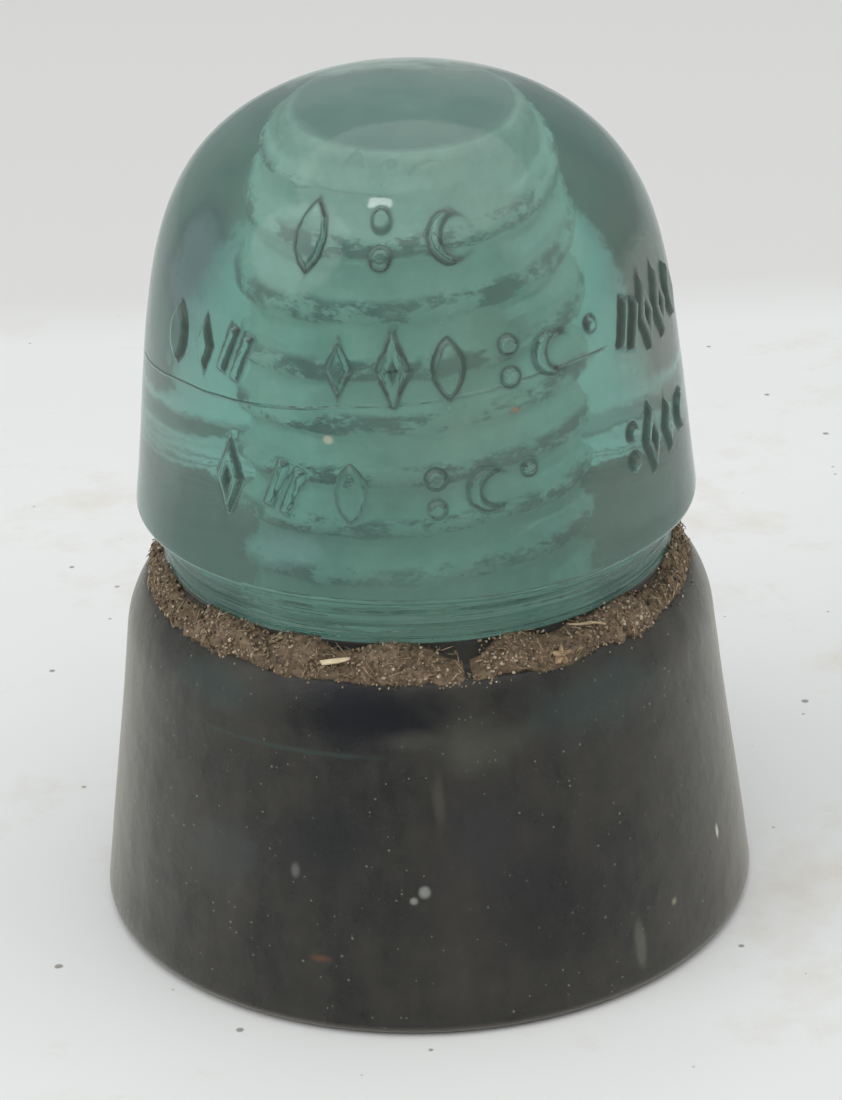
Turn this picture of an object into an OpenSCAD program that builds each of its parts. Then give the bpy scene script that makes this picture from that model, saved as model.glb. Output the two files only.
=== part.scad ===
// Pin insulator, moulded glass, with the soot and dirt that it has gathered.
// Units are millimetres. Origin: centre of the rim that it stands on, +Z up the pin hole.

/* [Overall] */
// Height from the rim to the top of the crown
total_h = 105.8; // [100:0.1:112]
// Diameter across the widest place, just above the rim
base_d = 82.5; // [80:0.5:86]

/* [Skirt] */
// Edge radius of the rim
rim_edge = 1.6; // [1:0.1:2]
// Width of the rim's ring, edges included
rim_w = 5.4; // [4.6:0.1:6.5]
// Diameter where the straight side ends and the shoulder begins
shoulder_d = 73; // [72:0.5:75]
// Height where the shoulder begins
shoulder_z = 36.7; // [35:0.1:38]
// Radius of the shoulder's long round
shoulder_round = 13; // [12:0.5:14]
// Radius of the shoulder's short round, at the ledge
ledge_round = 1.6; // [1.2:0.1:2]

/* [Wire groove] */
// Diameter of the neck at the bottom of the groove
neck_d = 62.4; // [61:0.1:63]
// Slope of the ledge below the neck, in degrees
ledge_slope = 10; // [5:1:14]
// Radius between ledge and neck
ledge_fillet = 1.4; // [1:0.1:1.8]
// Height where the neck begins to flare out to the crown
flare_z = 49.8; // [49:0.1:50.2]
// Radius of that flare
flare_round = 2.6; // [2.2:0.1:2.8]

/* [Crown] */
// Diameter of the crown at its lower edge
crown_d = 68.6; // [67:0.1:70]
// Height of the crown's lower edge
crown_z = 54.1; // [53.8:0.1:55]
// Radius of that edge
lip_round = 1.3; // [1:0.1:1.5]
// How much the crown's side leans in, as a ratio
crown_taper = 0.115; // [0.09:0.005:0.13]
// Height where the side starts to round over
round_z = 61.5; // [58:0.5:64]
// How square the shoulders of the crown are
crown_power = 5; // [4:0.25:6]

/* [Petticoat and hollow] */
// Outer diameter of the inner petticoat at its foot
petticoat_d = 39; // [38:0.5:41]
// Outer diameter of the petticoat where the hollow ends
petticoat_top_d = 43; // [42:0.5:44]
// Height of the petticoat's foot above the rim
petticoat_z = 6; // [4:0.5:10]
// Radius of the hollow's round top
hollow_round = 4.9; // [4.5:0.1:5.2]
// Height of the centre of the hollow's round top
hollow_z = 31; // [29:0.5:31.5]

/* [Pin hole] */
// Diameter of the hole between the thread's grooves
pin_hole_d = 25.4; // [25:0.1:26]
// Height of the hole's closed end
pin_hole_top = 98; // [96:0.5:98.5]
// Radius round the closed end
pin_hole_round = 2; // [1.5:0.5:3]
// Diameter of the hole's mouth
mouth_d = 30.4; // [29:0.2:31]
// Height where the mouth narrows to the hole
mouth_z = 15; // [13:0.5:17]
// Pitch of the thread
thread_pitch = 6.35; // [6:0.05:7]
// Depth of the thread's groove
thread_depth = 1.1; // [0.8:0.05:1.2]
// Width of the groove at the wall of the hole
thread_w = 2.4; // [2:0.1:2.8]
// Whole turns of thread
thread_turns = 12; // [8:1:12]

/* [Raised marks] */
// Height of a mark
mark_h = 6.4; // [5:0.2:7]
// How far a mark stands proud
mark_proud = 0.5; // [0.3:0.05:0.7]
// Width of a mark's raised line
mark_line = 1.1; // [0.9:0.1:1.3]
// Height of the upper row
row_high_z = 80.6; // [79:0.2:81]
// Height of the lower row
row_low_z = 66.3; // [66:0.2:68]

/* [Soot and dirt] */
// Thickness of the soot that lines the hollow
soot_t = 0.4; // [0.3:0.05:0.6]
// Height of the dirt where it meets the neck
dirt_top_z = 47.2; // [46.4:0.1:47.6]
// Bulge of the dirt's surface, out from a straight slope
dirt_bulge = 1.1; // [0.6:0.1:1.3]

/* [Hidden] */
$fn = 96;
base_r = base_d / 2;
neck_r = neck_d / 2;
crown_r = crown_d / 2;
bore_r = pin_hole_d / 2;

// Points of an arc about c, from angle a0 to angle a1
function arc(c, r, a0, a1, n = 8) =
    [for (i = [0:n]) let (a = a0 + (a1 - a0) * i / n) c + r * [cos(a), sin(a)]];
// The point at distance r and angle a from c
function off(c, r, a) = c + r * [cos(a), sin(a)];
function flipped(list) = [for (i = [len(list) - 1:-1:0]) list[i]];

// Skirt: the side leans in by this angle, then turns over in a long and a short round
side_lean = atan((base_r - shoulder_d / 2) / (shoulder_z - rim_edge));
long_end = 36;
short_end = 90 - ledge_slope;
long_c = off([shoulder_d / 2, shoulder_z], -shoulder_round, side_lean);
short_c = off(off(long_c, shoulder_round, long_end), -ledge_round, long_end);
ledge_p = off(short_c, ledge_round, short_end);
fillet_r = neck_r + ledge_fillet;
fillet_z = ledge_p[1] + (ledge_p[0] - fillet_r) * tan(ledge_slope) + ledge_fillet / cos(ledge_slope);

// Ledge and lower neck, from the shoulder inwards and up: the dirt lies on this line
shoulder_line = arc(long_c, shoulder_round, side_lean, long_end - 4, 5);
ledge_line = concat(
    arc(short_c, ledge_round, long_end, short_end, 3),
    arc([fillet_r, fillet_z], ledge_fillet, 180 + short_end, 180, 5)
);

// Upper neck and the crown's lower edge
neck_line = concat(
    arc([neck_r + flare_round, flare_z], flare_round, 180, 125, 5),
    arc([crown_r - lip_round, crown_z], lip_round, -55, 0, 5)
);

// Crown: a leaning side that rounds over to the top
function crown_at(z) =
    let (t = max(0, (z - round_z) / (total_h - round_z)))
    [(crown_r - crown_taper * (z - crown_z)) * sqrt(1 - pow(t, crown_power)), z];
crown_steps = 30;
crown_line = [for (i = [0:crown_steps])
    let (u = 1 - i / crown_steps)
    crown_at(round_z + (total_h - round_z) * (1 - u * u))];

// Hollow between skirt and petticoat, t in from the glass
hollow_in_r = petticoat_top_d / 2;
hollow_c = [hollow_in_r + hollow_round, hollow_z];
rim_in_r = base_r - rim_w;
function hollow_line(t) = concat(
    [[petticoat_d / 2 + t, petticoat_z + rim_edge]],
    arc(hollow_c, hollow_round - t, 180, 0, 14),
    [[rim_in_r - t, rim_edge + 1]]
);

// Pin hole from its closed end to the petticoat's foot
bore_line = concat(
    [[0, pin_hole_top]],
    arc([bore_r - pin_hole_round, pin_hole_top - pin_hole_round], pin_hole_round, 90, 0, 5),
    [[bore_r, mouth_z], [mouth_d / 2, petticoat_z + 1]],
    [[mouth_d / 2 + 1, petticoat_z], [petticoat_d / 2 - rim_edge, petticoat_z]]
);

rim_line = concat(
    arc([rim_in_r + rim_edge, rim_edge], rim_edge, 180, 270, 4),
    arc([base_r - rim_edge, rim_edge], rim_edge, 270, 360, 4)
);

function at_angle(a, r, z) = [r * sin(a), -r * cos(a), z];

// Helical groove, one turn every thread_pitch, fading out over a quarter turn at each end
ring_steps = 24;
thread_rings = thread_turns * ring_steps;
thread_z = mouth_z + 3;
groove_in = 0.6;
groove_slope = 0.6;
function groove_ring(i) =
    let (
        fade = min(1, (i + 0.5) / 6, (thread_rings - i + 0.5) / 6),
        out = bore_r - groove_in + (thread_depth + groove_in) * fade,
        half = thread_w / 2 + groove_in * groove_slope,
        root = max(0.2, half - (out - bore_r + groove_in) * groove_slope),
        zc = thread_z + i / ring_steps * thread_pitch,
        a = i * 360 / ring_steps
    )
    [for (q = [[bore_r - groove_in, -half], [out, -root], [out, root], [bore_r - groove_in, half]])
        at_angle(a, q[0], zc + q[1])];
module thread_groove() {
    points = [for (i = [0:thread_rings]) each groove_ring(i)];
    sides = [for (i = [0:thread_rings - 1]) for (k = [0:3])
        let (a = 4 * i + k, b = 4 * i + (k + 1) % 4)
        each [[a, b, b + 4], [a, b + 4, a + 4]]];
    last = 4 * thread_rings;
    ends = [[0, 3, 2], [0, 2, 1], [last, last + 1, last + 2], [last, last + 2, last + 3]];
    polyhedron(points = points, faces = concat(sides, ends));
}

// Raised marks. Each is [angle round the crown, shape], angles from the front to the right
row_high = [[-59, "leaf"], [-49, "lozenge"], [-40, "bars"], [-15.5, "lozenge"], [-4, "frame"],
    [7.5, "leaf"], [20.5, "dots"], [30.5, "moon"], [41, "dot"], [53, "bars"], [60, "frame"],
    [67.5, "frame"], [76, "leaf"]];
row_low = [[-40, "frame"], [-27, "bars"], [-13, "leaf"], [4, "dots"], [14.5, "moon"], [23, "dot"],
    [50, "dots"], [56.5, "frame"], [64, "lozenge"], [73, "moon"]];
module lozenge(h) {
    polygon([[0, h / 2], [h * 0.34, 0], [0, -h / 2], [-h * 0.34, 0]]);
}
module leaf(h) {
    intersection() {
        translate([h * 0.42, 0]) circle(h * 0.66);
        translate([-h * 0.42, 0]) circle(h * 0.66);
    }
}
module mark_shape(kind) {
    if (kind == "lozenge") lozenge(mark_h);
    if (kind == "frame") difference() {
        lozenge(mark_h);
        lozenge(mark_h - 2.6 * mark_line);
    }
    if (kind == "leaf") leaf(mark_h);
    if (kind == "moon") difference() {
        circle(mark_h * 0.36);
        translate([mark_line, 0]) circle(mark_h * 0.36);
    }
    if (kind == "bars") for (x = [-1, 1]) translate([x * mark_line, 0]) rotate(-20)
        square([mark_line, mark_h * 0.8], center = true);
    if (kind == "dots") for (z = [-1, 1]) translate([0, z * mark_h * 0.28]) circle(mark_line * 0.8);
    if (kind == "dot") translate([0, mark_h * 0.28]) circle(mark_line * 0.7);
}
mark_root = 2;
module marks(row, z) {
    above = crown_at(z + mark_h / 2);
    below = crown_at(z - mark_h / 2);
    lean = atan((below[0] - above[0]) / mark_h);
    middle_r = (above[0] + below[0]) / 2;
    for (m = row) rotate(m[0]) translate([0, -middle_r, z]) rotate([90 - lean, 0, 0])
        translate([0, 0, -mark_root]) linear_extrude(mark_root + mark_proud) mark_shape(m[1]);
}

module glass_body() {
    color([0.45, 0.72, 0.68]) difference() {
        union() {
            rotate_extrude() polygon(concat(
                rim_line,
                shoulder_line,
                ledge_line,
                neck_line,
                crown_line,
                bore_line,
                hollow_line(0)
            ));
            marks(row_high, row_high_z);
            marks(row_low, row_low_z);
        }
        thread_groove();
    }
}

module skirt_soot_lining() {
    color([0.09, 0.09, 0.1]) rotate_extrude()
        polygon(concat(hollow_line(0), flipped(hollow_line(soot_t))));
}

// Section of the dirt's surface, u from 0 at the neck to 1 at the outer end of the ledge line
dirt_from = [neck_r, dirt_top_z];
dirt_to = ledge_line[0];
dirt_mid = (dirt_from + dirt_to) / 2 + 2 * dirt_bulge * [cos(45), sin(45)];
function dirt_at(u) = (1 - u) * (1 - u) * dirt_from + 2 * u * (1 - u) * dirt_mid + u * u * dirt_to;
function dirt_slope(u) = let (d = (1 - u) * (dirt_mid - dirt_from) + u * (dirt_to - dirt_mid))
    atan2(d[1], d[0]);
dirt_steps = 6;

// A bank of packed dirt on the ledge, from angle a0 to angle a1
module dirt_bank(a0, a1) {
    color([0.33, 0.27, 0.21]) rotate(a0 - 90) rotate_extrude(angle = a1 - a0)
        polygon(concat(ledge_line, [for (i = [0:dirt_steps - 1]) dirt_at(i / dirt_steps)]));
}

// Lays its children, drawn on the XY plane with +Z up, on the dirt at angle a and place u
module on_dirt(a, u, turn = 0, lift = 0.05) {
    p = dirt_at(u);
    rotate(a) translate([0, -p[0], p[1]]) rotate([-dirt_slope(u), 0, 0])
        translate([0, 0, lift]) rotate(turn) children();
}

module groove_dirt_left() {
    dirt_bank(-104, 5);
}

module groove_dirt_right() {
    dirt_bank(13, 101);
}

module groove_dirt_rear() {
    dirt_bank(108, 248);
}

// A flat splinter of straw with ragged ends
module straw_sliver() {
    color([0.8, 0.7, 0.48]) on_dirt(-17, 0.42, 12) linear_extrude(0.35)
        polygon([[-1.8, -0.15], [-1.3, -0.32], [1.6, -0.2], [1.9, 0.05], [1.2, 0.3], [-1.6, 0.22]]);
}

// A thin twig in two straight lengths with a round knot between them
module twig_bit() {
    color([0.5, 0.38, 0.24]) on_dirt(36, 0.3, -14, 0.45) {
        rotate([0, -90, 8]) cylinder(h = 2.7, r1 = 0.28, r2 = 0.2, $fn = 24);
        rotate([0, 90, 0]) cylinder(h = 2.4, r = 0.28, $fn = 24);
        sphere(0.36, $fn = 24);
    }
}

// A lens-shaped husk
module husk_bit() {
    color([0.62, 0.5, 0.32]) on_dirt(28, 0.72, 0, 0.65) intersection() {
        translate([0, 0, 0.6]) sphere(1.2, $fn = 32);
        translate([0, 0, -0.6]) sphere(1.2, $fn = 32);
    }
}

// Loose grains on the dirt, clear of the larger bits and of the groove's four openings
grit_count = 60;
grit_step = 344 / grit_count;
grit_small = 0.22;
grit_large = 0.46;
grit_sizes = rands(grit_small, grit_large, grit_count, 11);
grit_places = rands(0.5, 0.85, grit_count, 12);
function on_bank(a) = a < 3 || (a > 15 && a < 99) || (a > 110 && a < 246);
function clear_of_bits(a) = abs(a + 17) > 6 && abs(a - 33) > 12;
module grit_crumbs() {
    color([0.45, 0.37, 0.28]) for (i = [0:grit_count - 1]) {
        a = -98 + i * grit_step;
        if (on_bank(a) && clear_of_bits(a))
            on_dirt(a, grit_places[i], 0, grit_sizes[i] + 0.04) sphere(grit_sizes[i], $fn = 24);
    }
}

glass_body();
skirt_soot_lining();
groove_dirt_left();
groove_dirt_right();
groove_dirt_rear();
straw_sliver();
twig_bit();
husk_bit();
grit_crumbs();
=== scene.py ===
import math
import random
import time

import bpy
from mathutils import Euler, Matrix, Vector, noise


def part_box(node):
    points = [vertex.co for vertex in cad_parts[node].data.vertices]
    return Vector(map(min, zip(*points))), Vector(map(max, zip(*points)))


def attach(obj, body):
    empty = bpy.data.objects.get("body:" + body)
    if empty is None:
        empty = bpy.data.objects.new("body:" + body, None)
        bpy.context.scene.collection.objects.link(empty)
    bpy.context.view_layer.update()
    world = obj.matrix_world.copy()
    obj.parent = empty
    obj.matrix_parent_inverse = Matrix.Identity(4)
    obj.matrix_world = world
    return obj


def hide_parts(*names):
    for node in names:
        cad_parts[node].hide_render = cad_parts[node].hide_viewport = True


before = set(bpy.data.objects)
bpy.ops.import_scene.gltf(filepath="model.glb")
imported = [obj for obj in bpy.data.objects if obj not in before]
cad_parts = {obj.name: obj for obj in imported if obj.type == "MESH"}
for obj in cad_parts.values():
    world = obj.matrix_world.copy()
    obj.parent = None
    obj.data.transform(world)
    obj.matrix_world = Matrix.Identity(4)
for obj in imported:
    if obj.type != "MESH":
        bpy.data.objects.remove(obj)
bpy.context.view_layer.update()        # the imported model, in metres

mm = 0.001               # sizes of pieces are in millimetres, those of the stage in metres
radian = 57.3            # degrees, rounded
sectionWeld = 0.001      # mm, points nearer than this become one
spinWeld = 0.004
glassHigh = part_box("glass_body")[1]


def sayStage(words):
    print("pin insulator:", words, "at %.1f s" % time.process_time(), flush=True)


def smoothStep(low, high, value):
    t = min(1.0, max(0.0, (value - low) / (high - low)))
    return t * t * (3 - 2 * t)


def compass(x, y):    # degrees round the axis from the front (-Y) towards the right (+X)
    return math.degrees(math.atan2(x, -y))


def aroundAxis(angle, radius, z):
    a = math.radians(angle)
    return Vector((radius * math.sin(a), -radius * math.cos(a), z))


def turnRadiusHeight(spot):    # of a place in metres: degrees from the front, and the rest in mm
    return compass(spot.x, spot.y), math.hypot(spot.x, spot.y) / mm, spot.z / mm


viewSpot = {
    "distance": 0.4032,
    "above": 23.64,       # degrees over the horizon
    "aimHeight": 0.05196,
    "tipDown": 0.958,     # the lens points this much below the aim
    "swing": -0.049,
    "roll": 2.0,
    "lens": 107.2,
    "sensor": 36,
    "clipStart": 0.01,
}


def addCamera():
    above = math.radians(viewSpot["above"])
    place = Vector((0, -math.cos(above), math.sin(above))) * viewSpot["distance"]
    place.z += viewSpot["aimHeight"]
    bpy.ops.object.camera_add(location=place)
    camera = bpy.context.object
    camera.name = "benchCamera"
    tilt = math.radians(90 - viewSpot["above"] - viewSpot["tipDown"])
    turned = Euler((tilt, 0, math.radians(viewSpot["swing"]))).to_matrix()
    turned = turned @ Matrix.Rotation(math.radians(-viewSpot["roll"]), 3, "Z")
    camera.rotation_euler = turned.to_euler()
    camera.data.lens = viewSpot["lens"]
    camera.data.sensor_width = viewSpot["sensor"]
    camera.data.clip_start = viewSpot["clipStart"]
    bpy.context.scene.camera = camera
    bpy.context.scene.view_settings.view_transform = "Standard"


floorLook = {
    "size": 5.0,
    "near": (0.76, 0.77, 0.76),
    "nearDull": (0.72, 0.73, 0.72),
    "blotchScale": 9.0,
    "fleck": (0.12, 0.09, 0.06),
    "fleckSpacing": 130.0,
    "fleckSize": 0.085,
    "fleckEdge": 0.03,
    "fleckStrength": 0.7,
    "bareCells": 0.8,     # the share of cells without a fleck
    "scuff": (0.62, 0.56, 0.47),
    "scuffScale": 30.0,
    "scuffStrength": 0.5,
    "far": (0.66, 0.66, 0.645),
    "edge": 0.205,        # where the bench ends and the paler backdrop begins, along +Y
    "softness": 0.012,
}
softLights = [
    # name, place, size, power, colour
    ("topBox", (0.05, -0.15, 1.5), 2.4, 15.0, (1, 0.99, 0.97)),
    ("leftBox", (-1.3, -0.7, 1.1), 1.5, 8.5, (0.98, 0.99, 1)),
    ("rightBox", (1.3, -0.4, 0.8), 1.2, 2.0, (1, 0.98, 0.96)),
    ("windowBox", (-0.16, -0.35, 1.1), 0.11, 0.3, (1, 1, 1)),
]
lightAim = (0, 0, 0.05)
skyLook = {
    "overhead": (0.86, 0.88, 0.9),
    "level": (0.55, 0.56, 0.57),
    "fullHeight": 0.8,    # from 0 at the horizon to 1 straight up
    "strength": 0.68,
}


def newMaterial(name):    # the material, its nodes and the place on the piece that patterns read
    material = bpy.data.materials.new(name)
    material.use_nodes = True
    tree = material.node_tree
    tree.nodes.clear()
    return material, tree, addNode(tree, "TexCoord").outputs["Object"]


def addNode(tree, kind, settings=None, **inputs):
    node = tree.nodes.new("ShaderNode" + kind)
    for key, value in (settings or {}).items():
        setattr(node, key, value)
    for key, value in inputs.items():
        put(tree, node, key.replace("_", " "), value)
    return node


def put(tree, node, key, value):
    socket = node.inputs[int(key)] if key.isdigit() else node.inputs[key]
    if hasattr(value, "is_output"):
        tree.links.new(value, socket)
    elif isinstance(value, tuple) and len(value) == 3 and socket.type == "RGBA":
        socket.default_value = (*value, 1)
    else:
        socket.default_value = value


def noiseNode(tree, spot, scale, detail=4.0, rough=0.55, squash=None):
    where = spot
    if squash:
        where = addNode(tree, "Mapping", Vector=spot, Scale=squash).outputs[0]
    return addNode(tree, "TexNoise", Vector=where, Scale=scale, Detail=detail,
        Roughness=rough).outputs["Fac"]


def rangeNode(tree, value, low, high, toLow=0.0, toHigh=1.0):
    return addNode(tree, "MapRange", Value=value, From_Min=low, From_Max=high,
        To_Min=toLow, To_Max=toHigh).outputs[0]


def mathNode(tree, operation, a, b=0.5, clamp=False):
    node = addNode(tree, "Math", {"operation": operation, "use_clamp": clamp})
    put(tree, node, "0", a)
    put(tree, node, "1", b)
    return node.outputs[0]


def vectorNode(tree, operation, a, b):
    node = addNode(tree, "VectorMath", {"operation": operation})
    put(tree, node, "0", a)
    put(tree, node, "1", b)
    return node.outputs["Value" if operation == "LENGTH" else "Vector"]


def mixColour(tree, factor, a, b):
    node = addNode(tree, "Mix", {"data_type": "RGBA"})
    put(tree, node, "0", factor)
    put(tree, node, "6", a)
    put(tree, node, "7", b)
    return node.outputs[2]


def giveOutput(tree, shader, **more):    # the material's own output
    addNode(tree, "OutputMaterial", Surface=shader.outputs[0], **more)


def addFloor():
    bpy.ops.mesh.primitive_plane_add(size=floorLook["size"])
    floor = bpy.context.object
    floor.name = "benchTop"
    material, tree, spot = newMaterial("palePaper")
    along = addNode(tree, "SeparateXYZ", Vector=spot).outputs["Y"]
    middle, soft = floorLook["edge"], floorLook["softness"]
    edge = rangeNode(tree, along, middle - soft, middle + soft)
    blotch = rangeNode(tree, noiseNode(tree, spot, floorLook["blotchScale"], detail=5.0), 0.3, 0.7)
    near = mixColour(tree, blotch, floorLook["nearDull"], floorLook["near"])
    cells = addNode(tree, "TexVoronoi", {"voronoi_dimensions": "2D"}, Vector=spot,
        Scale=floorLook["fleckSpacing"])
    chance = addNode(tree, "SeparateColor", Color=cells.outputs["Color"])
    size = rangeNode(tree, chance.outputs[0], floorLook["bareCells"], 1.0, 0.0, floorLook["fleckSize"])
    within = mathNode(tree, "SUBTRACT", size, cells.outputs["Distance"])
    fleck = rangeNode(tree, within, 0.0, floorLook["fleckEdge"], 0.0, floorLook["fleckStrength"])
    near = mixColour(tree, fleck, near, floorLook["fleck"])
    wear = noiseNode(tree, spot, floorLook["scuffScale"], detail=8.0, rough=0.7)
    scuffed = rangeNode(tree, wear, 0.54, 0.7, 0.0, floorLook["scuffStrength"])
    near = mixColour(tree, scuffed, near, floorLook["scuff"])
    tone = mixColour(tree, edge, near, floorLook["far"])
    shader = addNode(tree, "BsdfPrincipled", Base_Color=tone, Roughness=0.55)
    giveOutput(tree, shader)
    floor.data.materials.append(material)


def addLights():
    for name, place, size, power, colour in softLights:
        bpy.ops.object.light_add(type="AREA", location=place)
        light = bpy.context.object
        light.name = name
        light.data.shape = "DISK"
        light.data.size = size
        light.data.energy = power
        light.data.color = colour
        aim = Vector(lightAim) - Vector(place)
        light.rotation_euler = aim.to_track_quat("-Z", "Y").to_euler()
    world = bpy.data.worlds.new("studio")
    bpy.context.scene.world = world
    world.use_nodes = True
    tree = world.node_tree
    tree.nodes.clear()
    spot = addNode(tree, "TexCoord").outputs["Generated"]
    rise = addNode(tree, "SeparateXYZ", Vector=spot).outputs["Z"]
    rise = rangeNode(tree, rise, 0.0, skyLook["fullHeight"])
    tone = mixColour(tree, rise, skyLook["level"], skyLook["overhead"])
    glow = addNode(tree, "Background", Color=tone, Strength=skyLook["strength"])
    addNode(tree, "OutputWorld", Surface=glow.outputs[0])


def editMode():
    bpy.ops.object.mode_set(mode="EDIT")


def objectMode():
    bpy.ops.object.mode_set(mode="OBJECT")


def selectAll(action="SELECT"):
    bpy.ops.mesh.select_all(action=action)


def nothingSelected():
    if bpy.context.object is not None and bpy.context.object.mode != "OBJECT":
        objectMode()
    bpy.ops.object.select_all(action="DESELECT")


def arcPoints(cx, cz, radius, start, end, count):
    turns = [math.radians(start + (end - start) * i / count) for i in range(count + 1)]
    return [(cx + radius * math.cos(t), cz + radius * math.sin(t)) for t in turns]


def linePoints(a, b, count):    # the points between a and b, without a
    return [(a[0] + (b[0] - a[0]) * i / count, a[1] + (b[1] - a[1]) * i / count)
        for i in range(1, count + 1)]


def drawSection(name, points):    # one vertex, extruded along the closed section in the XZ plane
    nothingSelected()
    x, z = points[0]
    bpy.ops.mesh.primitive_plane_add(size=mm, location=(x * mm, 0, z * mm))
    piece = bpy.context.object
    piece.name = name
    bpy.ops.object.transform_apply(location=True, rotation=True, scale=True)
    editMode()
    bpy.ops.mesh.select_mode(type="VERT")
    selectAll()
    bpy.ops.mesh.merge(type="CENTER")
    for nextX, nextZ in points[1:]:
        step = ((nextX - x) * mm, 0, (nextZ - z) * mm)
        bpy.ops.mesh.extrude_vertices_move(TRANSFORM_OT_translate={"value": step})
        x, z = nextX, nextZ
    selectAll()
    bpy.ops.mesh.remove_doubles(threshold=sectionWeld * mm)
    return piece


def spinSection(piece, steps, angle=360):
    selectAll()
    bpy.ops.mesh.spin(steps=steps, angle=math.radians(angle), center=(0, 0, 0), axis=(0, 0, 1))
    selectAll()
    bpy.ops.mesh.remove_doubles(threshold=spinWeld * mm)
    bpy.ops.mesh.normals_make_consistent(inside=False)
    selectAll("DESELECT")
    objectMode()
    return piece


def finishPiece(piece):
    nothingSelected()
    piece.select_set(True)
    bpy.context.view_layer.objects.active = piece
    bpy.ops.object.shade_smooth()
    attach(piece, "root")


def pushAlongNormals(mesh, moves):    # one move in mm for each point
    normals = [v.normal.copy() for v in mesh.vertices]    # read first: a moved point resets them all
    spots = [v.co + n * (m * mm) for v, n, m in zip(mesh.vertices, normals, moves)]
    mesh.vertices.foreach_set("co", [c for spot in spots for c in spot])
    mesh.update()


glass = {
    "totalHeight": glassHigh.z / mm,
    "baseRadius": glassHigh.x / mm,
    "rimEdge": 1.6,
    "rimWidth": 5.4,
    "shoulderRadius": 36.5,
    "shoulderHeight": 36.7,
    "shoulderRound": 13,
    "shoulderEnd": 36,      # degrees, where the long round meets the short one
    "ledgeRound": 1.6,
    "ledgeSlope": 10,
    "ledgeFillet": 1.4,
    "neckRadius": 31.2,
    "flareHeight": 49.8,
    "flareRound": 2.6,
    "flareEnd": 125,
    "crownRadius": 34.3,
    "crownEdge": 54.1,
    "lipRound": 1.3,
    "crownTaper": 0.115,
    "crownStep": 1.2,       # mm between the points of its side
    "crownSteps": 23,
    "roundHeight": 61.5,
    "crownPower": 5,
    "petticoatRadius": 19.5,
    "petticoatTop": 21.5,
    "petticoatFoot": 6,
    "hollowRound": 4.9,
    "hollowHeight": 31,
    "holeRadius": 12.7,
    "holeTop": 98,
    "holeRound": 2,
    "mouthRadius": 15.2,
    "mouthHeight": 15,
    "threadPitch": 6.35,
    "threadDepth": 1.1,
    "threadWidth": 2.6,
    "threadStart": 18,
    "threadTurns": 12,
    "threadWander": 0.25,
    "holeUneven": 0.1,
    "roundSteps": 180,
    "ripple": 0.16,         # mm, slow waves left by the mould
    "rippleSize": 17,
    "pits": 0.025,
    "pitSize": 2.6,
    "striation": 0.09,      # mm, turned lines round the neck
}
zones = {                   # mm, where one surface of the glass ends and the next begins
    "crownFoot": 54,
    "crownInside": 20,      # from the axis: nearer is the pin hole
    "aboveHole": 95,
    "trueRound": 90,        # up to here the crown's points are set back on its curve
    "skirtFoot": 5,
    "skirtInside": 30,
    "neckLines": (45.5, 52.5),
    "wallReach": 13,        # from the axis: the hole's wall, before it is cut
    "wallFoot": 16,
    "holeReach": 16.5,
    "crownCoat": 47,        # the crown's finish begins
    "skirtTop": 40,
    "skirtLean": 0.134,     # mm a mm, how the skirt's wall leans in
}
marks = {
    "height": 6.4,
    "proud": 0.6,
    "line": 1.1,
    "edge": 0.3,
    "cuts": 4,
    "room": 1.2,            # mm round each mark that is divided finer
    "uneven": 0.12,
    "upperHeight": 80.6,
    "lowerHeight": 66.3,
    "topHeight": 94.2,
    "grimeAndPaintedLight": 0.75,          # how much dirt, with painted shade, lies round their edges
}
# Raised marks round the crown: degrees from the front, and the shape
upperRow = [(-59, "leaf"), (-49, "lozenge"), (-40, "bars"), (-15.5, "lozenge"), (-4, "frame"),
    (7.5, "leaf"), (20.5, "dots"), (30.5, "moon"), (41, "dot"), (53, "bars"), (60, "frame"),
    (67.5, "frame"), (76, "leaf")]
lowerRow = [(-40, "frame"), (-27, "bars"), (-13, "leaf"), (4, "dots"), (14.5, "moon"), (23, "dot"),
    (50, "dots"), (56.5, "frame"), (64, "lozenge"), (73, "moon")]
topRow = [(-24, "leaf"), (-6.5, "dots"), (10, "moon")]


def crownRadiusAt(z):
    top = glass["totalHeight"]
    t = max(0.0, (z - glass["roundHeight"]) / (top - glass["roundHeight"]))
    side = glass["crownRadius"] - glass["crownTaper"] * (z - glass["crownEdge"])
    return side * math.sqrt(max(0.0, 1 - t ** glass["crownPower"]))


def ledgeSection():    # the shoulder's long and short rounds, the ledge and the fillet up to the neck
    lean = math.degrees(math.atan2(glass["baseRadius"] - glass["shoulderRadius"],
        glass["shoulderHeight"] - glass["rimEdge"]))
    longRound, shortRound, fillet = glass["shoulderRound"], glass["ledgeRound"], glass["ledgeFillet"]
    start, end = math.radians(lean), math.radians(glass["shoulderEnd"])
    longX = glass["shoulderRadius"] - longRound * math.cos(start)
    longZ = glass["shoulderHeight"] - longRound * math.sin(start)
    shortX = longX + (longRound - shortRound) * math.cos(end)
    shortZ = longZ + (longRound - shortRound) * math.sin(end)
    slope = glass["ledgeSlope"]
    shoulder = arcPoints(longX, longZ, longRound, lean, glass["shoulderEnd"] - 3, count=8)
    ledge = arcPoints(shortX, shortZ, shortRound, glass["shoulderEnd"], 90 - slope, count=4)
    filletX = glass["neckRadius"] + fillet
    rise = (ledge[-1][0] - filletX) * math.tan(math.radians(slope))
    filletZ = ledge[-1][1] + rise + fillet / math.cos(math.radians(slope))
    ledge += arcPoints(filletX, filletZ, fillet, 270 - slope, 180, count=5)
    return shoulder, ledge


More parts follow.
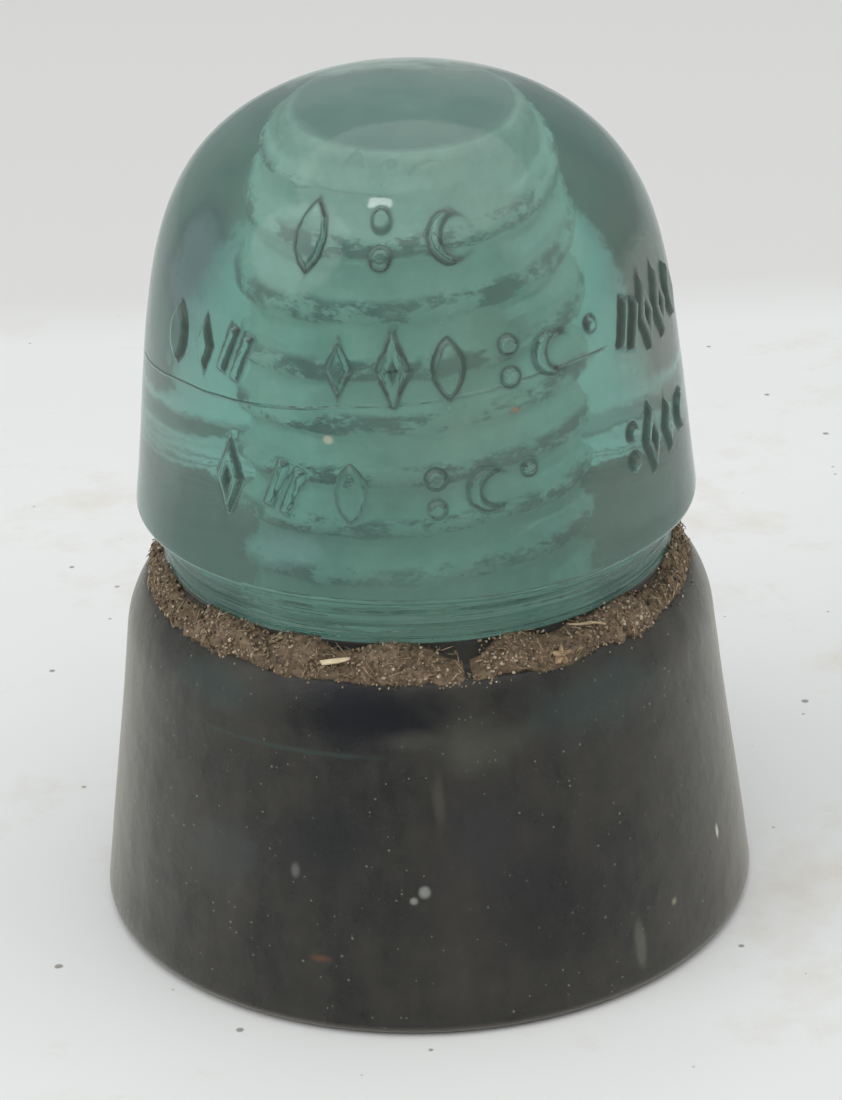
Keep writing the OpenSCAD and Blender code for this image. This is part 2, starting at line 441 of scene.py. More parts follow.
def hollowSection(inset):    # from the petticoat's foot up, over and down to the rim
    top = glass["petticoatTop"]
    foot = (glass["petticoatRadius"] + inset, glass["petticoatFoot"] + glass["rimEdge"])
    crest = arcPoints(top + glass["hollowRound"], glass["hollowHeight"],
        glass["hollowRound"] - inset, 180, 0, count=16)
    end = (glass["baseRadius"] - glass["rimWidth"] - inset, glass["rimEdge"] + 1)
    return [foot] + linePoints(foot, crest[0], 8) + crest[1:] + linePoints(crest[-1], end, 10)


def glassSection():
    base, rim = glass["baseRadius"], glass["rimEdge"]
    inner = base - glass["rimWidth"]
    shoulder, ledge = ledgeSection()
    points = arcPoints(inner + rim, rim, rim, 180, 270, count=5)
    points += arcPoints(base - rim, rim, rim, 270, 360, count=6)
    points += linePoints(points[-1], shoulder[0], count=22)[:-1]
    points += shoulder + ledge
    neckEnd = (glass["neckRadius"], glass["flareHeight"])
    points += linePoints(ledge[-1], neckEnd, count=26)
    flareX = glass["neckRadius"] + glass["flareRound"]
    flare = arcPoints(flareX, glass["flareHeight"], glass["flareRound"], 180, glass["flareEnd"], count=9)
    points += flare[1:]
    lipX = glass["crownRadius"] - glass["lipRound"]
    points += arcPoints(lipX, glass["crownEdge"], glass["lipRound"], glass["flareEnd"] - 180, 0, count=6)
    low, step, steps = glass["crownEdge"], glass["crownStep"], glass["crownSteps"]
    points += [(crownRadiusAt(low + step * i), low + step * i) for i in range(1, steps + 1)]
    turn = low + step * steps
    for i in range(1, 31):    # closer together towards the top
        u = 1 - i / 30
        z = turn + (glass["totalHeight"] - turn) * (1 - u * u)
        points.append((crownRadiusAt(z), z))
    holeTop, holeRound, hole = glass["holeTop"], glass["holeRound"], glass["holeRadius"]
    flat = hole - holeRound
    points += [(0, holeTop)] + linePoints((0, holeTop), (flat, holeTop), count=6)[:-1]
    points += arcPoints(flat, holeTop - holeRound, holeRound, 90, 0, count=6)
    wallEnd = (hole, glass["mouthHeight"])
    points += linePoints(points[-1], wallEnd, count=104)
    mouth = (glass["mouthRadius"], glass["petticoatFoot"] + 1)
    points += linePoints(wallEnd, mouth, count=6)
    points += [(mouth[0] + 1, glass["petticoatFoot"])]
    points += [(glass["petticoatRadius"] - glass["rimEdge"], glass["petticoatFoot"])]
    points += hollowSection(0)
    return points + [points[0]]


def threadGroove(angle, z):    # how deep the groove is at this place, mm
    pitch = glass["threadPitch"]
    turns = (z - glass["threadStart"]) / pitch
    if turns < 0 or turns > glass["threadTurns"]:
        return 0
    away = (turns - angle / 360 + 0.5) % 1 - 0.5
    fade = min(1, turns * 3, (glass["threadTurns"] - turns) * 3)
    wander = 1 + glass["threadWander"] * noise.noise((angle * 0.06, z * 0.4, 7))
    shape = 1 - smoothStep(0.25, 0.75, abs(away) * pitch / glass["threadWidth"] * wander)
    return glass["threadDepth"] * fade * shape


def lozengeGap(x, y, size):
    return (abs(x) / 0.4 + abs(y) - size / 2) * 0.37


def markGap(kind, x, y):    # distance in mm from the raised line of a mark, under 0 inside it
    size, half = marks["height"], marks["line"] / 2
    if kind == "lozenge":
        return lozengeGap(x, y, size * 0.92)
    if kind == "frame":
        return abs(lozengeGap(x, y, size * 0.86)) - half
    if kind == "leaf":
        reach, lens = size * 0.42, size * 0.66
        return max(math.hypot(x - reach, y), math.hypot(x + reach, y)) - lens
    if kind == "moon":
        outer = math.hypot(x, y) - size * 0.36
        return max(outer, size * 0.36 - math.hypot(x - 1.1 * marks["line"], y))
    if kind == "bars":
        slant = math.radians(20)
        along = y * math.cos(slant) + x * math.sin(slant)
        across = x * math.cos(slant) - y * math.sin(slant)
        return max(abs(abs(across) - marks["line"]) - half * 0.9, abs(along) - size * 0.42)
    if kind == "dots":
        return math.hypot(x, abs(y) - size * 0.28) - 0.85 * marks["line"]
    return math.hypot(x, y - size * 0.28) - 0.7 * marks["line"]


def markWindows():    # degrees, height and shape of every mark
    rows = (("upperHeight", upperRow), ("lowerHeight", lowerRow), ("topHeight", topRow))
    return [(angle, marks[height], kind) for height, row in rows for angle, kind in row]


def onCrown(radius, z):    # the crown's outer side, with all that is above the hole's wall
    return z > zones["aboveHole"] or (z > zones["crownFoot"] and radius > zones["crownInside"])


def divideMarked(mesh, windows, reach):    # finer faces where the marks will rise
    for face in mesh.polygons:
        angle, radius, z = turnRadiusHeight(face.center)
        face.select = onCrown(radius, z) and any(
            abs(z - height) < reach and abs(angle - turn) * radius / radian < reach * 0.75
            for turn, height, kind in windows)
    editMode()
    bpy.ops.mesh.select_mode(type="FACE")
    bpy.ops.mesh.subdivide(number_cuts=marks["cuts"])
    selectAll("DESELECT")
    objectMode()


def cutThread(mesh):    # and sets the divided faces of the crown back on its curve
    wallTop = glass["holeTop"] - glass["holeRound"] - 0.2
    for v in mesh.vertices:
        angle, radius, z = turnRadiusHeight(v.co)
        if onCrown(radius, z) and glass["crownEdge"] < z < zones["trueRound"]:
            v.co = aroundAxis(angle, crownRadiusAt(z) * mm, v.co.z)
        elif radius < zones["wallReach"] and zones["wallFoot"] < z < wallTop:
            uneven = glass["holeUneven"] * noise.noise((angle * 0.05, z * 0.1, 3))
            v.co = aroundAxis(angle, (radius + threadGroove(angle, z) + uneven) * mm, v.co.z)
    mesh.update()


def neckLines(angle, z):    # the height in mm of the turned lines round the neck
    drift = noise.noise((angle * 0.02, 0, z * 0.2)) * 2
    lines = math.sin(z * 6.3 + drift) + 0.7 * math.sin(z * 10.4 - 2 * drift)
    foot = zones["neckLines"][0]
    return glass["striation"] * lines * smoothStep(foot, foot + 1, z)


def shapeGlass(piece):    # thread, raised marks, mould waves, pits and turned lines
    windows = markWindows()
    reach = marks["height"] / 2 + marks["room"]
    mesh = piece.data
    divideMarked(mesh, windows, reach)
    cutThread(mesh)
    lineFoot, lineTop = zones["neckLines"]
    moves, edges = [], []
    for v in mesh.vertices:
        angle, radius, z = turnRadiusHeight(v.co)
        spot = v.co / mm
        move, grimeAndPaintedLight = 0.0, 0.0
        if onCrown(radius, z) or (z > zones["skirtFoot"] and radius > zones["skirtInside"]):
            move += glass["ripple"] * noise.noise(spot / glass["rippleSize"])
            move += glass["pits"] * noise.noise(spot / glass["pitSize"])
            move *= smoothStep(0, 4, z)
        if lineFoot < z < lineTop and radius > zones["skirtInside"]:
            move += neckLines(angle, z)
        if onCrown(radius, z):
            for turn, height, kind in windows:
                if abs(z - height) < reach and abs(angle - turn) < 9:
                    gap = markGap(kind, (angle - turn) / radian * radius, z - height)
                    gap += marks["uneven"] * noise.noise(spot * 0.9)
                    move += marks["proud"] * (1 - smoothStep(-marks["edge"], marks["edge"], gap))
                    # the dark line round each mark: grime, and painted shade along its edge
                    grimeAndPaintedLight = max(grimeAndPaintedLight, 1 - smoothStep(0.05, 0.6, abs(gap - 0.15)))
        moves.append(move)
        edges.append(grimeAndPaintedLight * marks["grimeAndPaintedLight"])
    pushAlongNormals(mesh, moves)
    mesh.attributes.new("markEdge", "FLOAT", "POINT").data.foreach_set("value", edges)


glassZones = ["crown", "skirt", "hole", "hollow"]


def zoneOf(face):
    angle, radius, z = turnRadiusHeight(face.center)
    if radius < zones["holeReach"] and z < glass["holeTop"] + 0.5:
        return "hole"
    if z > zones["crownCoat"]:
        return "crown"
    wallMiddle = glass["baseRadius"] - zones["skirtLean"] * z - glass["rimWidth"] / 2
    if radius > wallMiddle or z > zones["skirtTop"]:
        return "skirt"
    return "hollow"


def addGlass(materials):
    piece = spinSection(drawSection("glassBody", glassSection()), glass["roundSteps"])
    shapeGlass(piece)
    for zone in glassZones:
        piece.data.materials.append(materials[zone])
    for face in piece.data.polygons:
        face.material_index = glassZones.index(zoneOf(face))
    finishPiece(piece)
    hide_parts("glass_body")
    sayStage("glass body, %d faces" % len(piece.data.polygons))


soot = {
    "thickness": 0.4,
    "gap": 0.04,            # mm, between it and the glass
    "steps": 160,
    "lumps": 0.056,
    "lumpSize": 2.2,
    "grainSize": 0.8,
}


def addSoot(material):
    outer = hollowSection(soot["gap"])
    inner = hollowSection(soot["thickness"])
    section = outer + inner[::-1] + [outer[0]]
    piece = spinSection(drawSection("sootLining", section), soot["steps"])
    moves = []
    for v in piece.data.vertices:
        rough = noise.noise(v.co / mm / soot["lumpSize"])
        rough += 0.5 * noise.noise(v.co / mm / soot["grainSize"])
        moves.append(soot["lumps"] * min(0.0, rough - 0.3))
    pushAlongNormals(piece.data, moves)
    piece.data.materials.append(material)
    finishPiece(piece)
    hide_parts("skirt_soot_lining")
    sayStage("soot lining")


dirt = {
    "top": 47.2,            # mm, where it meets the neck
    "bulge": 1.1,
    "surfacePoints": 12,
    "stepsPerDegree": 1.7,
    "thin": 0.5,            # how thin it gets between its thick places
    "bedded": 0.35,         # the least share of the full depth that loose bits lie at
    "taper": 8,             # degrees, at both ends of a bank
    "endDepth": 0.08,
    "ends": (-104, 248),    # degrees from the front, where the first begins and the last ends
    "clods": 0.3,
    "clodSize": 1.5,
    "crumbs": 0.16,
    "crumbSize": 0.45,
}
banks = [
    # name, CAD node, from and to in degrees from the front
    ("dirtLeft", "groove_dirt_left", dirt["ends"][0], 8.5),
    ("dirtRight", "groove_dirt_right", 10, 101),
    ("dirtRear", "groove_dirt_rear", 108, dirt["ends"][1]),
]


def dirtPoint(u):    # radius and height of the dirt's surface, u from the neck outwards
    ledge = ledgeSection()[1]
    a, c = (glass["neckRadius"], dirt["top"]), ledge[0]
    out = 2 * dirt["bulge"] * math.sqrt(0.5)
    b = ((a[0] + c[0]) / 2 + out, (a[1] + c[1]) / 2 + out)
    k = ((1 - u) ** 2, 2 * u * (1 - u), u ** 2)
    return (k[0] * a[0] + k[1] * b[0] + k[2] * c[0], k[0] * a[1] + k[1] * b[1] + k[2] * c[1])


def dirtDepth(angle):    # how much of its full depth the dirt has here
    wave = noise.noise((math.sin(math.radians(angle)) * 5, math.cos(math.radians(angle)) * 5, 1))
    return dirt["thin"] + (1 - dirt["thin"]) * smoothStep(-0.35, 0.25, wave)


def dirtReach(angle):    # how far out over the ledge the dirt goes, 1 at its edge
    side = 1 - 0.22 * smoothStep(35, 90, abs(angle))
    ragged = noise.noise((angle * 0.09, 2, 5)) + 0.6 * noise.noise((angle * 0.4, 6, 1))
    return min(1, side * (0.9 + 0.26 * ragged))


def ledgeHeight(radius):
    ledge = ledgeSection()[1]
    for (r1, z1), (r2, z2) in zip(ledge, ledge[1:]):
        if r2 <= radius <= r1:
            return z1 + (z2 - z1) * (r1 - radius) / (r1 - r2) if r1 > r2 else z2
    return ledge[0][1] if radius > ledge[0][0] else ledge[-1][1]


def nearEnds(angle, start, end):    # 0 at the ends of a bank, 1 away from them
    return smoothStep(0, dirt["taper"], angle - start) * smoothStep(0, dirt["taper"], end - angle)


def addBank(name, node, start, end, material):
    ledge = ledgeSection()[1]
    count = dirt["surfacePoints"]
    surface = [dirtPoint(i / count) for i in range(1, count)]
    section = ledge + [(glass["neckRadius"], dirt["top"])] + surface + [ledge[0]]
    piece = drawSection(name, section)
    objectMode()
    piece.rotation_euler.z = math.radians(start - 90)
    bpy.ops.object.transform_apply(rotation=True)
    editMode()
    steps = int((end - start) * dirt["stepsPerDegree"])
    spinSection(piece, steps, start - end)    # spin turns clockwise
    editMode()
    bpy.ops.mesh.select_mode(type="EDGE")
    bpy.ops.mesh.select_non_manifold()
    bpy.ops.mesh.fill_holes(sides=0)
    selectAll()
    bpy.ops.mesh.normals_make_consistent(inside=False)
    selectAll("DESELECT")
    objectMode()
    moves = []
    for v in piece.data.vertices:
        angle, radius, z = turnRadiusHeight(v.co)
        angle %= 360
        angle -= 360 if angle > end + 5 else 0
        rise = z - ledgeHeight(radius)
        radius = glass["neckRadius"] + (radius - glass["neckRadius"]) * dirtReach(angle)
        v.co = aroundAxis(angle, radius * mm, ledgeHeight(radius) * mm)
        if rise < 0.03:
            moves.append(0.0)
            continue
        ends = dirt["endDepth"] + (1 - dirt["endDepth"]) * nearEnds(angle, start, end)
        keep = dirtDepth(angle) * ends
        v.co.z += rise * keep * mm
        spot = v.co / mm
        rough = dirt["clods"] * noise.noise(spot / dirt["clodSize"])
        rough += dirt["crumbs"] * noise.noise(spot / dirt["crumbSize"])
        moves.append(rough * smoothStep(0, 0.8, rise * keep))
    piece.data.update()
    pushAlongNormals(piece.data, moves)
    piece.data.materials.append(material)
    finishPiece(piece)
    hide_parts(node)


loose = {
    "grains": 3600,
    "grainSize": (0.09, 0.3),
    "fibres": 620,
    "fibreLength": (0.7, 2.1),
    "fibreThick": 0.055,
    "fibreTilt": 25,
    "strays": 260,
    "straySize": (0.08, 0.22),
    "strayRadius": (32.0, 34.4),
    "strayGap": (3, 15),    # degrees, the gap at the front that has more of them
}


# The matrix that lays a thing drawn on the XY plane onto the dirt, in metres
def lieOnDirt(angle, u, turn=0.0, lift=0.0):
    keep = dirt["bedded"] + (1 - dirt["bedded"]) * dirtDepth(angle)
    radius, z = dirtPoint(u)
    rise = (z - ledgeHeight(radius)) * keep
    radius = glass["neckRadius"] + (radius - glass["neckRadius"]) * dirtReach(angle)
    z = ledgeHeight(radius) + rise
    r1, z1 = dirtPoint(max(0, u - 0.05))
    r2, z2 = dirtPoint(min(1, u + 0.05))
    slope = math.atan2(z1 - z2, r2 - r1)
    turned = Matrix.Rotation(math.radians(angle), 4, "Z")
    placed = Matrix.Translation((0, -radius * mm, z * mm))
    lifted = Matrix.Translation((0, 0, lift * mm)) @ Matrix.Rotation(math.radians(turn), 4, "Z")
    return turned @ placed @ Matrix.Rotation(slope, 4, "X") @ lifted


# One mesh with a copy of the model at each place, and a tone for each copy
def spread(name, model, places, material):
    corners = [v.co.copy() for v in model.data.vertices]
    faces = [tuple(face.vertices) for face in model.data.polygons]
    points, allFaces, tones = [], [], []
    for place, tone in places:
        first = len(points)
        points += [place @ c for c in corners]
        allFaces += [tuple(first + i for i in face) for face in faces]
        tones += [tone] * len(corners)
    mesh = bpy.data.meshes.new(name)
    mesh.from_pydata(points, [], allFaces)
    mesh.attributes.new("tone", "FLOAT", "POINT").data.foreach_set("value", tones)
    mesh.update()
    piece = bpy.data.objects.new(name, mesh)
    bpy.context.collection.objects.link(piece)
    mesh.materials.append(material)
    bpy.data.objects.remove(model)
    finishPiece(piece)
    return piece


def anyTurn(seeds):
    return Euler([seeds.uniform(0, 6.28) for _ in range(3)]).to_matrix().to_4x4()


def onBank(angle):
    return any(start + 1 < angle < end - 1 for _, _, start, end in banks)


def grainModel():
    nothingSelected()
    bpy.ops.mesh.primitive_ico_sphere_add(subdivisions=1, radius=mm)
    model = bpy.context.object
    editMode()
    bpy.ops.transform.vertex_random(offset=0.22 * mm, seed=3)
    bpy.ops.transform.resize(value=(1.25, 0.9, 0.65))
    objectMode()
    return model


def fibreModel():    # one millimetre long, bent once and tapering
    nothingSelected()
    bpy.ops.mesh.primitive_cylinder_add(vertices=4, radius=mm, depth=mm, rotation=(0, math.pi / 2, 0))
    model = bpy.context.object
    bpy.ops.object.transform_apply(rotation=True)
    editMode()
    selectAll()
    bpy.ops.mesh.bisect(plane_co=(0.1 * mm, 0, 0), plane_no=(1, 0, 0))
    objectMode()
    for v in model.data.vertices:
        if abs(v.co.x) < 0.3 * mm:
            v.co.z += 0.12 * mm
        else:
            v.co.y, v.co.z = v.co.y * 0.6, v.co.z * 0.6
    return model


def addLoose(materials):
    seeds = random.Random(5)
    grains = []
    while len(grains) < loose["grains"]:
        angle, u = seeds.uniform(*dirt["ends"]), seeds.uniform(0.0, 1.0)
        if onBank(angle) and seeds.random() < dirtDepth(angle) ** 1.5:
            size = seeds.uniform(*loose["grainSize"]) * seeds.uniform(0.6, 1.1)
            place = lieOnDirt(angle, u, 0, size * 0.2) @ anyTurn(seeds) @ Matrix.Scale(size, 4)
            grains.append((place, seeds.random()))
    for _ in range(loose["strays"]):    # on the bare ledge and in the gaps between banks
        size = seeds.uniform(*loose["straySize"])
        angle, radius = seeds.uniform(*dirt["ends"]), seeds.uniform(*loose["strayRadius"])
        angle = seeds.choice((angle, angle, seeds.uniform(*loose["strayGap"])))
        spot = aroundAxis(angle, radius * mm, (ledgeHeight(radius) + size * 0.5) * mm)
        place = Matrix.Translation(spot) @ anyTurn(seeds) @ Matrix.Scale(size, 4)
        grains.append((place, seeds.random()))
    piece = spread("gritGrains", grainModel(), grains, materials["grit"])
    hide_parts("grit_crumbs")
    fibres = []
    while len(fibres) < loose["fibres"]:
        angle, u = seeds.uniform(*dirt["ends"]), seeds.uniform(0.05, 0.95)
        if onBank(angle):
            long = seeds.uniform(*loose["fibreLength"])
            thick = loose["fibreThick"] * seeds.uniform(0.6, 1.3)
            lean = seeds.uniform(-loose["fibreTilt"], loose["fibreTilt"])
            tilt = Matrix.Rotation(math.radians(lean), 4, "Y")
            place = lieOnDirt(angle, u, seeds.uniform(0, 360), 0.22) @ tilt
            place = place @ Matrix.Diagonal((long, thick, thick * 1.6, 1))
            fibres.append((place, seeds.random()))
    spread("dirtFibres", fibreModel(), fibres, materials["fibre"])
    sayStage("grains and fibres")


# Where each lies on the dirt: degrees from the front, u from the neck outwards, turn and lift
straw = {"angle": -17.5, "u": 0.42, "turn": 14, "lift": 0.3, "length": 3.5, "width": 0.6,
    "thick": 0.26, "taper": 0.55, "curl": 0.14}
twig = {"angle": 36, "u": 0.3, "turn": -20, "lift": 0.5, "length": 5.0, "thick": 0.36, "rings": 14,
    "knot": 0.45, "sag": 0.25}
husk = {"angle": 28, "u": 0.66, "turn": 20, "lift": 0.45, "size": 1.15, "flaps": 5, "flat": 0.42}


def addStraw(material):
    nothingSelected()
    bpy.ops.mesh.primitive_cube_add(size=mm)
    piece = bpy.context.object
    piece.name = "strawSliver"
    piece.scale = (straw["length"], straw["width"], straw["thick"])
    bpy.ops.object.transform_apply(scale=True)
    editMode()
    selectAll()
    bpy.ops.mesh.subdivide(number_cuts=7)
    objectMode()
    half = straw["length"] / 2 * mm
    for v in piece.data.vertices:    # a slight curl, a taper and split ends
        t = v.co.x / half
        v.co.y *= 1 - straw["taper"] * max(0, t) ** 2
        v.co.z += (straw["curl"] * t * t + 0.05 * math.cos(v.co.y / mm * 9)) * mm
        v.co.x += 0.35 * mm * (v.co.y / mm) * t ** 3
        v.co.y += 0.03 * mm * noise.noise(v.co / mm * 3)
    piece.data.transform(lieOnDirt(straw["angle"], straw["u"], straw["turn"], straw["lift"]))
    piece.data.materials.append(material)
    finishPiece(piece)
    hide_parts("straw_sliver")


def addTwig(material):
    nothingSelected()
    bpy.ops.mesh.primitive_cylinder_add(vertices=10, radius=twig["thick"] / 2 * mm,
        depth=twig["length"] * mm, rotation=(0, math.pi / 2, 0))
    piece = bpy.context.object
    piece.name = "twigBit"
    bpy.ops.object.transform_apply(rotation=True)
    editMode()
    half = twig["rings"] // 2
    for i in range(1 - half, half):
        selectAll()
        bpy.ops.mesh.bisect(plane_co=(twig["length"] / twig["rings"] * i * mm, 0, 0), plane_no=(1, 0, 0))
    objectMode()
    for v in piece.data.vertices:    # knots, a bend and thinner ends
        t = v.co.x / (twig["length"] / 2 * mm)
        swell = 1 - 0.4 * abs(t) + twig["knot"] * math.exp(-((t - 0.1) * 9) ** 2)
        v.co.y, v.co.z = v.co.y * swell, v.co.z * swell
        v.co.z += (0.1 - twig["sag"] * abs(t - 0.1)) * mm
        v.co.y += 0.12 * math.sin(t * 3) * mm
    piece.data.transform(lieOnDirt(twig["angle"], twig["u"], twig["turn"], twig["lift"]))
    piece.data.materials.append(material)
    finishPiece(piece)
    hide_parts("twig_bit")


def addHusk(material):
    nothingSelected()
    bpy.ops.mesh.primitive_ico_sphere_add(subdivisions=4, radius=husk["size"] * mm)
    piece = bpy.context.object
    piece.name = "huskBit"
    for v in piece.data.vertices:    # a torn, folded scale with flaps
        turn = math.atan2(v.co.y, v.co.x)
        flap = 0.75 + 0.28 * math.cos(husk["flaps"] * turn + 1) + 0.25 * noise.noise(v.co / mm * 2.2)
        v.co.x, v.co.y = v.co.x * flap, v.co.y * flap
        v.co.z = v.co.z * husk["flat"] + 0.18 * mm * math.cos(husk["flaps"] * turn)
    piece.data.transform(lieOnDirt(husk["angle"], husk["u"], husk["turn"], husk["lift"]))
    piece.data.materials.append(material)
    finishPiece(piece)
    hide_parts("husk_bit")


glassTint = {
    "surface": (0.93, 0.985, 0.975),
    "inside": (0.16, 0.68, 0.6),
    "depth": 29.0,
    "bend": 1.52,
}


def absorb(tree):
    return addNode(tree, "VolumeAbsorption", Color=glassTint["inside"],
        Density=glassTint["depth"]).outputs[0]


def coverGlass(tree, cover, clear, coat):    # clear glass, and its coat where cover is 1
    both = addNode(tree, "MixShader")
    for key, value in (("0", cover), ("1", clear.outputs[0]), ("2", coat.outputs[0])):
        put(tree, both, key, value)
    giveOutput(tree, both, Volume=absorb(tree))


def startGroup(name, inputs, outputs):    # inputs with their usual values
    group = bpy.data.node_groups.new(name, "ShaderNodeTree")
    for key, value in inputs.items():
        kind = "NodeSocketVector" if isinstance(value, tuple) else "NodeSocketFloat"
        group.interface.new_socket(name=key, in_out="INPUT", socket_type=kind).default_value = value
    for key in outputs:
        kind = "NodeSocketVector" if key == "Normal" else "NodeSocketFloat"
        group.interface.new_socket(name=key, in_out="OUTPUT", socket_type=kind)
    return group, group.nodes.new("NodeGroupInput").outputs, group.nodes.new("NodeGroupOutput")


def placeGroup(tree, name, **values):
    node = tree.nodes.new("ShaderNodeGroup")
    node.node_tree = bpy.data.node_groups[name]
    for key, value in values.items():
        put(tree, node, key, value)
    return node.outputs


weather = {"speckScale": 1500.0, "bareCells": 0.8, "speckSize": 0.3, "bumpScale": 240.0,
    "bumpDepth": 0.0006}


def makeWeathering():    # clouds and runs of grime film, with dust specks and a rough surface
    usual = {"Spot": (0, 0, 0), "Size": 55.0, "Runs": 0.4, "Low": 0.0, "High": 1.0, "Specks": 0.3,
        "Bumps": 0.12}
    tree, given, result = startGroup("weathering", usual, ["Film", "Cloud", "Speck", "Normal"])
    cloud = noiseNode(tree, given["Spot"], given["Size"], 6.0, 0.62)
    runs = noiseNode(tree, given["Spot"], given["Size"], 5.0, 0.6, (1.4, 1.4, 0.16))
    both = addNode(tree, "Mix", {"data_type": "FLOAT"})
    for key, value in (("0", given["Runs"]), ("2", cloud), ("3", runs)):
        put(tree, both, key, value)
    film = rangeNode(tree, both.outputs[0], 0.34, 0.66, given["Low"], given["High"])
    cells = addNode(tree, "TexVoronoi", Vector=given["Spot"], Scale=weather["speckScale"])
    chance = addNode(tree, "SeparateColor", Color=cells.outputs["Color"]).outputs[0]
    size = rangeNode(tree, chance, weather["bareCells"], 1.0, 0.0, weather["speckSize"])
    speck = rangeNode(tree, mathNode(tree, "SUBTRACT", size, cells.outputs["Distance"]), 0.0, 0.1)
    speck = mathNode(tree, "MULTIPLY", speck, given["Specks"])
    film = mathNode(tree, "ADD", film, speck, True)
    rough = noiseNode(tree, given["Spot"], weather["bumpScale"], rough=0.5)
    bump = addNode(tree, "Bump", Height=rough, Strength=given["Bumps"],
        Distance=weather["bumpDepth"])
    put(tree, result, "Film", film)
    put(tree, result, "Cloud", rangeNode(tree, both.outputs[0], 0.36, 0.64))
    put(tree, result, "Speck", speck)
    put(tree, result, "Normal", bump.outputs[0])


def makeRaggedPatch():    # a ragged patch round a centre, 1 in the middle and 0 past its reach
    usual = {"Spot": (0, 0, 0), "Centre": (0, 0, 0), "Reach": (0.01, 0.01, 0.01), "Ragged": 0.7,
        "Strength": 1.0}
    tree, given, result = startGroup("raggedPatch", usual, ["Mask"])
    away = vectorNode(tree, "SUBTRACT", given["Spot"], given["Centre"])
    gap = vectorNode(tree, "LENGTH", vectorNode(tree, "DIVIDE", away, given["Reach"]), (0, 0, 0))
    wave = noiseNode(tree, given["Spot"], 170.0, detail=3.0, rough=0.5)
    ragged = mathNode(tree, "MULTIPLY", mathNode(tree, "SUBTRACT", wave, 0.5),
        mathNode(tree, "MULTIPLY", given["Ragged"], 2.5))
    mask = addNode(tree, "MapRange", {"interpolation_type": "SMOOTHSTEP"},
        Value=mathNode(tree, "ADD", gap, ragged), From_Min=1.0, From_Max=0.25)
    put(tree, result, "Mask", mathNode(tree, "MULTIPLY", mask.outputs[0], given["Strength"], True))


def makeGrain():    # fine grain for crusts, earth and dry stalks
    usual = {"Spot": (0, 0, 0), "Stretch": (1, 1, 1), "Size": 900.0, "Depth": 0.5}
    tree, given, result = startGroup("grain", usual, ["Tone", "Normal"])
    where = vectorNode(tree, "MULTIPLY", given["Spot"], given["Stretch"])
    lines = noiseNode(tree, where, given["Size"], 4.0, 0.62)
    bump = addNode(tree, "Bump", Height=lines, Strength=given["Depth"], Distance=0.0003)
    put(tree, result, "Tone", rangeNode(tree, lines, 0.33, 0.66))
    put(tree, result, "Normal", bump.outputs[0])


# Stains, and patches of painted light and shade: degrees from the front, height in mm, reach across and
# up in mm, colour, strength
crownStainsAndPaintedLight = [
    # painted reflection: a broad pale patch on the top of the dome, standing for the overhead light's
    # sheen
    (180, 103.5, 24, 6, (0.46, 0.53, 0.47), 0.7),
    (64, 78, 14, 24, (0.2, 0.195, 0.165), 0.65),
    (50, 60, 20, 10, (0.22, 0.24, 0.2), 0.45),
    (-62, 66, 12, 14, (0.2, 0.23, 0.2), 0.45),
    (-58, 88, 9, 14, (0.12, 0.17, 0.21), 0.55),
    (-27, 59, 9, 4, (0.13, 0.18, 0.2), 0.55),
    (20, 84, 7, 4, (0.2, 0.24, 0.2), 0.35),
    (2, 68, 12, 6, (0.19, 0.25, 0.21), 0.35),
    (21, 75, 0.9, 0.6, (0.3, 0.13, 0.07), 0.8),
    (-17.5, 72.5, 1.1, 0.9, (0.5, 0.43, 0.32), 0.8),
]
skirtStainsAndPaintedLight = [
    # painted shade: the near-black patch under the ledge, the dark seen down through the shoulder
    (-9, 39.5, 13, 6, (0.003, 0.004, 0.007), 1.0),
    (9, 36, 7, 5, (0.085, 0.085, 0.07), 0.5),
    (-3, 37, 5, 2, (0.1, 0.1, 0.085), 0.35),
    # painted light: a thin teal band of light passing through the thick glass near the top of the hollow
    (-25, 35, 17, 0.45, (0.03, 0.06, 0.05), 0.6),
    (20, 16, 10, 12, (0.01, 0.01, 0.013), 0.6),
    (-18, 24, 8, 8, (0.008, 0.011, 0.014), 0.6),
    # painted light: teal glows of light passing through the glass near the top of the hollow
    (35, 38, 13, 5, (0.04, 0.062, 0.056), 0.6),
    (-45, 40, 9, 3, (0.035, 0.055, 0.05), 0.6),
    (10, 24, 8, 12, (0.03, 0.028, 0.032), 0.6),
    (-40, 20, 8, 6, (0.045, 0.055, 0.056), 0.5),
    (38, 6, 1.1, 5, (0.12, 0.13, 0.1), 0.7),
    (-19, 9.5, 2.2, 0.9, (0.16, 0.07, 0.03), 0.7),
    (47, 9.2, 1, 1, (0.34, 0.34, 0.2), 0.8),
    (63.5, 13, 0.5, 1.3, (0.6, 0.6, 0.52), 0.95),
    (-1, 18.5, 0.8, 0.9, (0.32, 0.33, 0.3), 0.75),
    (-3, 17.4, 0.6, 0.6, (0.3, 0.31, 0.28), 0.75),
    (-24, 20, 0.8, 1.4, (0.17, 0.18, 0.17), 0.6),
    (2, 29, 1.2, 7, (0.085, 0.075, 0.06), 0.6),
    (-56, 29, 0.6, 7, (0.02, 0.022, 0.022), 0.7),
    (-60, 31, 0.5, 6, (0.02, 0.022, 0.022), 0.7),
    (-51, 31, 0.5, 6, (0.02, 0.022, 0.022), 0.6),
]


